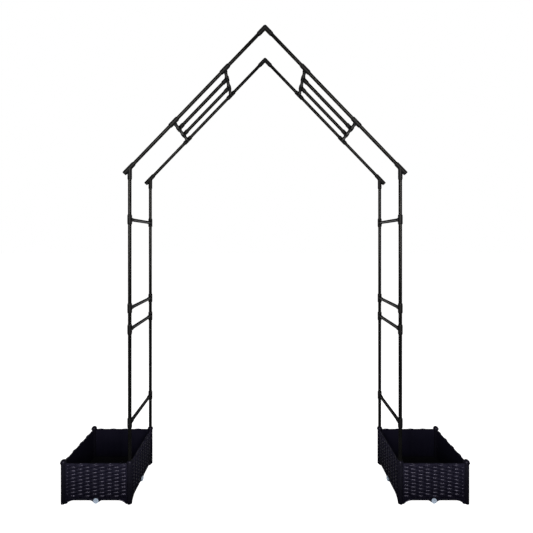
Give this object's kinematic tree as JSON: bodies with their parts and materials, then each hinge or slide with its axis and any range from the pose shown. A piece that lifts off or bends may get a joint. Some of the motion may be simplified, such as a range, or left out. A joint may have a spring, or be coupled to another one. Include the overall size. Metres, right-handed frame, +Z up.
{
  "type": "garden trellis arch",
  "caption": "Gabled garden trellis arch of coated steel tube and push-fit connectors, standing in the corner posts of square woven-look planters with pull-out drain plugs.",
  "frame": {"origin": "on the ground, in the middle of the walk-through, halfway between the front and rear frames", "axes": "+X across the walk-through to the right, +Y from front to rear, +Z up"},
  "size_m": [2.372, 0.42, 2.7713],
  "materials": {
    "tube": "black plastic-coated steel, satin",
    "connector": "moulded black plastic, matt",
    "planter": "moulded very dark blue-black plastic with woven relief, satin",
    "inner_plastic": "moulded black plastic, matt",
    "plug": "soft light grey-blue plastic"
  },
  "bodies": {
    "left_planter": {"left_panel_front": "planter", "left_panel_rear": "planter", "left_panel_inner": "planter", "left_panel_outer": "planter", "left_corner_posts": "planter", "left_post_collars": "planter", "left_water_tray": "inner_plastic"},
    "arch": {"leg_front_left": "tube", "leg_tees_front_left": "connector", "rafter_front_left": "tube", "rafter_tees_front_left": "connector", "eave_connector_front_left": "connector", "leg_rear_left": "tube", "leg_tees_rear_left": "connector", "rafter_rear_left": "tube", "rafter_tees_rear_left": "connector", "eave_connector_rear_left": "connector", "crossbar_lower_left": "tube", "crossbar_upper_left": "tube", "slat_tees_left": "connector", "rungs_left": "tube", "roof_slats_left": "tube", "leg_front_right": "tube", "leg_tees_front_right": "connector", "rafter_front_right": "tube", "rafter_tees_front_right": "connector", "eave_connector_front_right": "connector", "leg_rear_right": "tube", "leg_tees_rear_right": "connector", "rafter_rear_right": "tube", "rafter_tees_rear_right": "connector", "eave_connector_rear_right": "connector", "crossbar_lower_right": "tube", "crossbar_upper_right": "tube", "slat_tees_right": "connector", "rungs_right": "tube", "roof_slats_right": "tube", "apex_elbow_front": "connector", "apex_elbow_rear": "connector"},
    "right_planter": {"right_panel_front": "planter", "right_panel_rear": "planter", "right_panel_inner": "planter", "right_panel_outer": "planter", "right_corner_posts": "planter", "right_post_collars": "planter", "right_water_tray": "inner_plastic"},
    "left_drain_plug_front": {"left_drain_plug_front": "plug"},
    "left_drain_plug_rear": {"left_drain_plug_rear": "plug"},
    "left_drain_plug_inner": {"left_drain_plug_inner": "plug"},
    "left_drain_plug_outer": {"left_drain_plug_outer": "plug"},
    "left_soil_grid": {"left_soil_grid": "inner_plastic"},
    "left_post_cap_front": {"left_post_cap_front": "planter"},
    "left_post_cap_rear": {"left_post_cap_rear": "planter"},
    "right_drain_plug_front": {"right_drain_plug_front": "plug"},
    "right_drain_plug_rear": {"right_drain_plug_rear": "plug"},
    "right_drain_plug_inner": {"right_drain_plug_inner": "plug"},
    "right_drain_plug_outer": {"right_drain_plug_outer": "plug"},
    "right_soil_grid": {"right_soil_grid": "inner_plastic"},
    "right_post_cap_front": {"right_post_cap_front": "planter"},
    "right_post_cap_rear": {"right_post_cap_rear": "planter"}
  },
  "joints": [
    {"name": "arch_lift", "type": "slide", "parent": "left_planter", "child": "arch", "axis": [0, 0, 1], "range_m": [0, 0.2]},
    {"name": "right_planter_stays", "type": "slide", "parent": "arch", "child": "right_planter", "axis": [0, 0, -1], "range_m": [0, 0.2]},
    {"name": "left_drain_plug_front_pull", "type": "slide", "parent": "left_planter", "child": "left_drain_plug_front", "axis": [0, -1, 0], "range_m": [0, 0.03]},
    {"name": "left_drain_plug_rear_pull", "type": "slide", "parent": "left_planter", "child": "left_drain_plug_rear", "axis": [0, 1, 0], "range_m": [0, 0.03]},
    {"name": "left_drain_plug_inner_pull", "type": "slide", "parent": "left_planter", "child": "left_drain_plug_inner", "axis": [1, 0, 0], "range_m": [0, 0.03]},
    {"name": "left_drain_plug_outer_pull", "type": "slide", "parent": "left_planter", "child": "left_drain_plug_outer", "axis": [-1, 0, 0], "range_m": [0, 0.03]},
    {"name": "left_soil_grid_lift", "type": "slide", "parent": "left_planter", "child": "left_soil_grid", "axis": [0, 0, 1], "range_m": [0, 0.25]},
    {"name": "left_post_cap_front_lift", "type": "slide", "parent": "left_planter", "child": "left_post_cap_front", "axis": [0, 0, 1], "range_m": [0, 0.03]},
    {"name": "left_post_cap_rear_lift", "type": "slide", "parent": "left_planter", "child": "left_post_cap_rear", "axis": [0, 0, 1], "range_m": [0, 0.03]},
    {"name": "right_drain_plug_front_pull", "type": "slide", "parent": "right_planter", "child": "right_drain_plug_front", "axis": [0, -1, 0], "range_m": [0, 0.03]},
    {"name": "right_drain_plug_rear_pull", "type": "slide", "parent": "right_planter", "child": "right_drain_plug_rear", "axis": [0, 1, 0], "range_m": [0, 0.03]},
    {"name": "right_drain_plug_inner_pull", "type": "slide", "parent": "right_planter", "child": "right_drain_plug_inner", "axis": [-1, 0, 0], "range_m": [0, 0.03]},
    {"name": "right_drain_plug_outer_pull", "type": "slide", "parent": "right_planter", "child": "right_drain_plug_outer", "axis": [1, 0, 0], "range_m": [0, 0.03]},
    {"name": "right_soil_grid_lift", "type": "slide", "parent": "right_planter", "child": "right_soil_grid", "axis": [0, 0, 1], "range_m": [0, 0.25]},
    {"name": "right_post_cap_front_lift", "type": "slide", "parent": "right_planter", "child": "right_post_cap_front", "axis": [0, 0, 1], "range_m": [0, 0.03]},
    {"name": "right_post_cap_rear_lift", "type": "slide", "parent": "right_planter", "child": "right_post_cap_rear", "axis": [0, 0, 1], "range_m": [0, 0.03]}
  ],
  "couplings": [
    {"joint": "right_planter_stays", "follows": "arch_lift", "ratio": 1}
  ]
}
